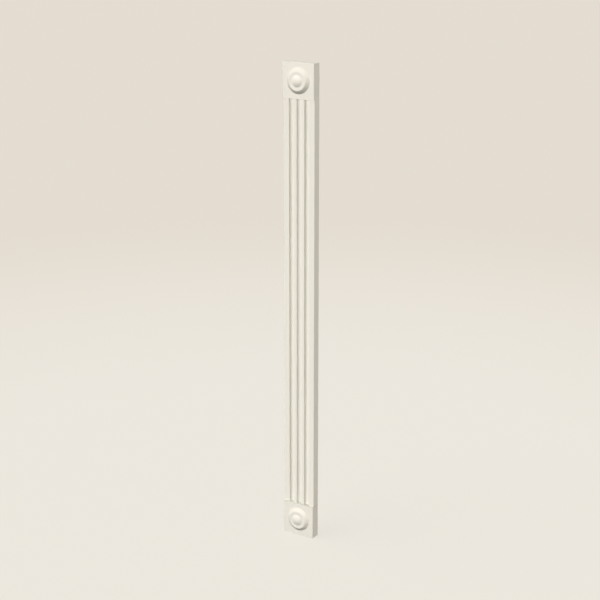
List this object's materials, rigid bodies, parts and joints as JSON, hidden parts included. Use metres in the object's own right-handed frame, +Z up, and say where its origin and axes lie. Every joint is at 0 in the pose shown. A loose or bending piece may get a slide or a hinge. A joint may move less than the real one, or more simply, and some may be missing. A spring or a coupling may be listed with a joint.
{
  "type": "fluted pilaster",
  "caption": "Slim painted pilaster with a fluted shaft between two square blocks, each with a turned rosette.",
  "frame": {"origin": "centre of the flat back face, which lies against the wall", "axes": "+Z up along the shaft, -Y out of the carved face away from the wall, +X to the right seen from the front"},
  "size_m": [0.0762, 0.0316, 1.0668],
  "materials": {
    "shaft_paint": "painted off-white, satin",
    "block_paint": "painted off-white, satin",
    "rosette_paint": "painted off-white, satin"
  },
  "bodies": {
    "root": {"fluted_shaft": "shaft_paint", "bottom_block": "block_paint", "top_block": "block_paint", "bottom_rosette": "rosette_paint", "top_rosette": "rosette_paint"}
  },
  "joints": []
}
